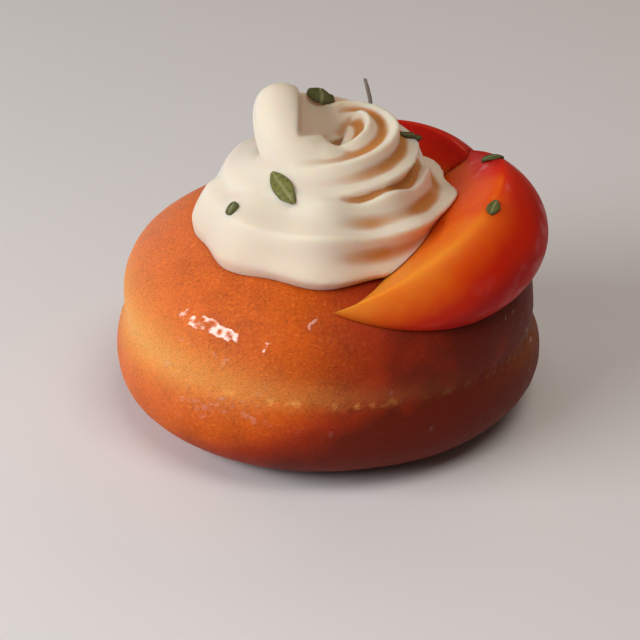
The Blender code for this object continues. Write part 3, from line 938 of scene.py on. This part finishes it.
def hollows_of(piece):
    """How far each point of a piece lies below its general surface, and that surface's points."""
    build = bmesh.new()
    build.from_mesh(piece.data)
    build.normal_update()
    start = [vertex.co.copy() for vertex in build.verts]
    normals = [vertex.normal.copy() for vertex in build.verts]
    for _ in range(GENERAL_ROUNDS):
        bmesh.ops.smooth_vert(build, verts=build.verts, factor=0.5,
                              use_axis_x=True, use_axis_y=True, use_axis_z=True)
    general = [vertex.co.copy() for vertex in build.verts]
    build.free()
    return [(far - here).dot(normal) for far, here, normal in zip(general, start, normals)], general


def fill_grooves(piece):
    """Let the cream run a little into its deepest grooves."""
    depths, general = hollows_of(piece)
    for vertex, depth, far in zip(piece.data.vertices, depths, general):
        vertex.co = vertex.co.lerp(far, GROOVE_FILL * smooth_step(depth / GROOVE_DEEP))


def note_painted_shade(piece):
    """Note the cream's painted shade: most in the grooves by the peach,
    less in the hollow and low down.
    """
    depths, _ = hollows_of(piece)
    hollow = []
    for vertex, depth in zip(piece.data.vertices, depths):
        x, y, z = vertex.co / MM
        # Painted shade with the peach's painted orange light in the right-hand grooves, painted shade in
        # the hollow
        groove = ease(depth / MM, 0.01, 0.19) * (0.15 + 0.80 * ease(x, -6, 14))
        scooped = ease(x, -5.7, 0.8) * (1 - ease(x, 3, 5)) * ease(y, -5, 4) * ease(z, 51, 2)
        # Painted warm light reflected from the bun, low down on the cream
        low = 1 - ease(z, 38, 9)
        hollow.append(groove + HOLLOW_PAINTED_SHADE * scooped * (1 - groove) + LOW_PAINTED_SHADE * low)
    hold_values(piece, "hollow", hollow)


def surface_of(piece):
    """A searchable copy of a piece's surface."""
    build = bmesh.new()
    build.from_mesh(piece.data)
    tree = BVHTree.FromBMesh(build)
    build.free()
    return tree


def lay_leaf(name, surface, thickness, near, heading, length, width):
    """Drape a thin wavy leaf over a surface, near a place, with its tip towards the heading."""
    spot, normal, _, _ = surface.find_nearest(Vector(near) * MM)
    forward = Vector(heading)
    forward = (forward - normal * forward.dot(normal)).normalized()
    across = normal.cross(forward)
    points = []
    rib = []
    rim = []
    for layer in (1, 0):
        for row in range(LEAF_ROWS + 1):
            share = row / LEAF_ROWS
            blunt = LEAF_BLUNTNESS + (1 - 2 * LEAF_BLUNTNESS) * share
            half = width / 2 * MM * math.sin(math.pi * blunt) ** LEAF_ROUNDNESS
            for column in range(LEAF_COLUMNS + 1):
                side = 2 * column / LEAF_COLUMNS - 1
                flat = spot + forward * (share - 0.5) * length * MM + across * side * half
                hit, _, _, _ = surface.ray_cast(flat + normal * SURFACE_ABOVE, -normal, SURFACE_REACH)
                rise = max((hit - flat).dot(normal), -LEAF_SAG) if hit else -LEAF_SAG
                wave = LEAF_WAVE * math.sin(LEAF_WAVES * math.pi * share + side) * abs(side)
                cup = LEAF_CUP * abs(side) ** 1.5 - LEAF_DROOP * abs(side) ** 6
                points.append(flat + normal * (rise + LEAF_CLEARANCE + layer * thickness + wave + cup))
                rib.append(math.exp(-(side / RIB_SHARE) ** 2))
                rim.append(smooth_step((abs(side) - RIM_FROM) / (1 - RIM_FROM)))
    across_count = LEAF_COLUMNS + 1
    layer_size = (LEAF_ROWS + 1) * across_count
    faces = []
    for row in range(LEAF_ROWS):
        for column in range(LEAF_COLUMNS):
            corner = row * across_count + column
            quad = (corner, corner + 1, corner + across_count + 1, corner + across_count)
            faces.append(quad)
            faces.append(tuple(index + layer_size for index in reversed(quad)))
    border = list(range(across_count))
    border += [row * across_count + LEAF_COLUMNS for row in range(1, LEAF_ROWS + 1)]
    border += [LEAF_ROWS * across_count + column for column in range(LEAF_COLUMNS - 1, -1, -1)]
    border += [row * across_count for row in range(LEAF_ROWS - 1, 0, -1)]
    for place, here in enumerate(border):
        beyond = border[(place + 1) % len(border)]
        faces.append((here, beyond, beyond + layer_size, here + layer_size))
    piece = make_mesh(name, points, faces)
    hold_values(piece, "rib", rib)
    hold_values(piece, "rim", rim)
    return piece


def cut_stalk(name):
    """Draw the stalk out of a small cylinder, with a slight taper and a bend."""
    along = STALK_TIP - STALK_FOOT
    deselect_all()
    bpy.ops.mesh.primitive_cone_add(vertices=STALK_SIDES, depth=along.length, radius1=STALK_RADIUS,
                                    radius2=STALK_RADIUS * STALK_TAPER,
                                    location=(STALK_FOOT + STALK_TIP) / 2,
                                    rotation=along.to_track_quat("Z", "Y").to_euler())
    piece = bpy.context.object
    piece.name = name
    bpy.ops.object.transform_apply(location=True, rotation=True)
    bpy.ops.object.mode_set(mode="EDIT")
    bpy.ops.mesh.select_all(action="SELECT")
    bpy.ops.mesh.subdivide(number_cuts=STALK_CUTS)
    bpy.ops.object.mode_set(mode="OBJECT")
    for vertex in piece.data.vertices:
        share = (vertex.co - STALK_FOOT).dot(along) / along.length_squared
        vertex.co.x += STALK_BEND * math.sin(math.pi * share)
        vertex.co += vertex.normal * noise.noise(vertex.co / KNOBBLE_SIZE) * STALK_KNOBBLES
    return piece


def colour_setting(name, description, default):
    """A colour that can be set, as shares of full red, green and blue light."""
    return FloatVectorProperty(name=name, description=description, default=default, subtype="COLOR",
                               min=0, max=1)


def length_setting(name, description, default, low, high):
    """A length that can be set, in metres."""
    return FloatProperty(name=name, description=description, default=default, min=low, max=high,
                         subtype="DISTANCE", unit="LENGTH")


class BunLook(bpy.types.PropertyGroup):
    """Colours and grain of the bun's crust."""

    crust: colour_setting("Crust", "Golden crust", (0.83, 0.150, 0.008))
    # Soft crust is a painted sheen: paler and bluer on the left, where the window's light glances off
    soft: colour_setting("Soft crust", "Crust where it is least baked", (0.76, 0.165, 0.036))
    light: colour_setting("Light specks", "Light specks of the crust", (0.90, 0.25, 0.035))
    # Russet and deep crust also carry the painted shade of the front right and the foot
    russet: colour_setting("Russet crust", "Where the crust begins to brown", (0.70, 0.045, 0.008))
    deep: colour_setting("Deep crust", "Pores and browner parts", (0.150, 0.0155, 0.006))
    band: colour_setting("Band", "Pale band where the bun rose", (0.95, 0.46, 0.12))
    speck_size: length_setting("Speck size", "Size of the light specks", 0.7 * MM, 0.1 * MM, 5 * MM)
    pore_size: length_setting("Pore size", "Size of the crust's pores", 0.5 * MM, 0.1 * MM, 5 * MM)


class PeachLook(bpy.types.PropertyGroup):
    """Colours and grain of the peach."""

    yellow: colour_setting("Yellow", "Flesh at the tip and the cut edge", (0.82, 0.29, 0.03))
    orange: colour_setting("Orange", "Flesh", (0.78, 0.100, 0.007))
    red: colour_setting("Red", "Flesh under the skin", (0.64, 0.022, 0.006))
    # Deep red is the ripest flesh, and also the painted shade on the front wedge's lower skin
    deep_red: colour_setting("Deep red", "Ripest flesh", (0.44, 0.010, 0.007))
    fibre_size: length_setting("Fibre size", "Size of the flesh's fibres", 1.6 * MM, 0.1 * MM, 10 * MM)


class CreamLook(bpy.types.PropertyGroup):
    """Colours, grain and softness of the cream."""

    cream: colour_setting("Cream", "Whipped cream", (0.81, 0.755, 0.655))
    # The grooves' colour is painted shade and painted light reflected from the peach
    shade: colour_setting("Grooves", "Cream down in its grooves", (0.57, 0.235, 0.060))
    grain: length_setting("Grain", "Size of the cream's faces", 0.42 * MM, 0.2 * MM, 2 * MM)
    softening: IntProperty(name="Softening", description="How far the ridges are rounded",
                           default=5, min=0, max=40)


class ThymeLook(bpy.types.PropertyGroup):
    """Colours and thickness of the thyme."""

    leaf: colour_setting("Leaf", "Thyme leaf", (0.20, 0.21, 0.06))
    dark: colour_setting("Dark leaf", "Dark parts of a leaf", (0.035, 0.045, 0.015))
    rib: colour_setting("Midrib", "Midrib of a leaf", (0.40, 0.40, 0.20))
    rim: colour_setting("Rim", "Rim of a leaf", (0.10, 0.11, 0.05))
    stalk: colour_setting("Stalk", "Bare thyme stalk", (0.20, 0.17, 0.15))
    thickness: length_setting("Thickness", "Thickness of a leaf", 0.28 * MM, 0.1 * MM, 1 * MM)


class StageLook(bpy.types.PropertyGroup):
    """The floor, the room and the camera's place."""

    floor: colour_setting("Floor", "Floor", (0.80, 0.82, 0.88))
    room: colour_setting("Room", "Light from the room around", (1.0, 0.78, 0.62))
    room_strength: FloatProperty(name="Room strength", default=0.09, min=0, max=1,
                                 description="Strength of the light from the room around")
    elevation: FloatProperty(name="Camera elevation", description="How far the camera looks down",
                             subtype="ANGLE", unit="ROTATION", default=math.radians(28),
                             min=0, max=math.pi / 2)
    distance: length_setting("Camera distance", "How far off the camera is", 0.4514, 0.1, 2)


class SAVARIN_OT_bun(bpy.types.Operator):
    """Bake the bun and soak it."""

    bl_idname = "savarin.bun"
    bl_label = "Bake the bun"

    def execute(self, context):
        bun = turn_bun("bun")
        weather_crust(bun)
        finish_piece(bun, crust_material(context.scene.bun_look), "savarin_bun", slot="crust")
        return {"FINISHED"}


class SAVARIN_OT_peach(bpy.types.Operator):
    """Cut the two peach wedges and lay them on the bun."""

    bl_idname = "savarin.peach"
    bl_label = "Cut the peach"

    def execute(self, context):
        look = context.scene.peach_look
        front = FRONT_WEDGE.build("peach_wedge_front", front_ripeness_and_shade)
        back = BACK_WEDGE.build("peach_wedge_back", back_ripeness)
        cut_away(back, [front], WEDGE_CONTACT)
        fill_values(back, "ripe_and_shade", CONTACT_RIPENESS)
        finish_piece(front, peach_material("peach, front", look), "peach_front", slot="peach")
        finish_piece(back, peach_material("peach, back", look), "peach_back", slot="peach")
        return {"FINISHED"}


class SAVARIN_OT_cream(bpy.types.Operator):
    """Pipe the cream rosette on the bun, against the peach."""

    bl_idname = "savarin.cream"
    bl_label = "Pipe the cream"

    def execute(self, context):
        look = context.scene.cream_look
        names = ("bun", "peach_wedge_front", "peach_wedge_back")
        neighbours = [bpy.data.objects[name] for name in names]
        cream = pipe_cream("cream", look.grain, look.softening)
        fill_grooves(cream)
        cut_away(cream, neighbours, CREAM_GAP)
        note_painted_shade(cream)
        finish_piece(cream, cream_material(look), "cream_rosette", slot="cream")
        return {"FINISHED"}


class SAVARIN_OT_thyme(bpy.types.Operator):
    """Scatter the thyme leaves and set the bare stalk."""

    bl_idname = "savarin.thyme"
    bl_label = "Scatter the thyme"

    def execute(self, context):
        look = context.scene.thyme_look
        cream = surface_of(bpy.data.objects["cream"])
        peach = surface_of(bpy.data.objects["peach_wedge_front"])
        for name, (near, heading, length, width, light) in THYME_LEAVES.items():
            surface = peach if name in LEAVES_ON_PEACH else cream
            piece = lay_leaf(name, surface, look.thickness, near, heading, length, width)
            finish_piece(piece, leaf_material(name, look, light))
        finish_piece(cut_stalk("thyme_stalk"), stalk_material(look))
        return {"FINISHED"}


def add_light(name, azimuth, elevation, distance, width, height, power, colour):
    """Add a soft rectangular light that faces the cream."""
    turn = math.radians(azimuth)
    rise = math.radians(elevation)
    way = Vector((math.sin(turn) * math.cos(rise), -math.cos(turn) * math.cos(rise), math.sin(rise)))
    data = bpy.data.lights.new(name, "AREA")
    data.shape = "RECTANGLE"
    data.size = width
    data.size_y = height
    data.energy = power
    data.color = colour
    light = bpy.data.objects.new(name, data)
    light.location = LIGHT_AIM + way * distance
    light.rotation_euler = way.to_track_quat("Z", "Y").to_euler()
    bpy.context.scene.collection.objects.link(light)


class SAVARIN_OT_stage(bpy.types.Operator):
    """Set the floor, the lights and the camera."""

    bl_idname = "savarin.stage"
    bl_label = "Set the stage"

    def execute(self, context):
        look = context.scene.stage_look
        deselect_all()
        bpy.ops.mesh.primitive_circle_add(vertices=FLOOR_SIDES, radius=FLOOR_RADIUS, fill_type="NGON",
                                          location=(0, 0, FLOOR_LEVEL))
        floor = context.object
        floor.name = "floor"
        floor.data.materials.append(floor_material(look))
        for name, light in LIGHTS.items():
            add_light(name, *light)
        world = bpy.data.worlds.new("room")
        world.use_nodes = True
        background = world.node_tree.nodes["Background"]
        background.inputs["Color"].default_value = (*look.room, 1)
        background.inputs["Strength"].default_value = look.room_strength
        context.scene.world = world
        context.scene.view_settings.view_transform = "Standard"
        data = bpy.data.cameras.new("camera")
        data.sensor_width = CAMERA_SENSOR
        data.lens = CAMERA_LENS
        data.clip_start = CAMERA_NEAR
        camera = bpy.data.objects.new("camera", data)
        back = Vector((0, -math.cos(look.elevation), math.sin(look.elevation)))
        camera.location = CAMERA_AIM + back * look.distance
        camera.rotation_euler = back.to_track_quat("Z", "Y").to_euler()
        context.scene.collection.objects.link(camera)
        context.scene.camera = camera
        return {"FINISHED"}


LOOKS = {"bun_look": BunLook, "peach_look": PeachLook, "cream_look": CreamLook,
         "thyme_look": ThymeLook, "stage_look": StageLook}
OPERATORS = (SAVARIN_OT_bun, SAVARIN_OT_peach, SAVARIN_OT_cream, SAVARIN_OT_thyme, SAVARIN_OT_stage)


class SAVARIN_PT_panel(bpy.types.Panel):
    """Lists the steps in the sidebar, each with its settings."""

    bl_idname = "SAVARIN_PT_panel"
    bl_label = "Peach savarin"
    bl_space_type = "VIEW_3D"
    bl_region_type = "UI"
    bl_category = "Savarin"

    def draw(self, context):
        for operator, (name, group) in zip(OPERATORS, LOOKS.items()):
            box = self.layout.box()
            box.operator(operator.bl_idname)
            for setting in group.__annotations__:
                box.prop(getattr(context.scene, name), setting)


CLASSES = (*LOOKS.values(), *OPERATORS, SAVARIN_PT_panel)


def register():
    """Make the settings, the steps and the panel known to Blender."""
    for item in CLASSES:
        bpy.utils.register_class(item)
    for name, group in LOOKS.items():
        setattr(bpy.types.Scene, name, PointerProperty(type=group))


def unregister():
    """Take them back."""
    for name in LOOKS:
        delattr(bpy.types.Scene, name)
    for item in reversed(CLASSES):
        bpy.utils.unregister_class(item)


def main():
    """Dress the savarin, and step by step."""
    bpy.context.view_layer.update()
    register()
    bpy.ops.savarin.bun()
    bpy.ops.savarin.peach()
    bpy.ops.savarin.cream()
    bpy.ops.savarin.thyme()
    bpy.ops.savarin.stage()


if __name__ == "__main__":
    main()
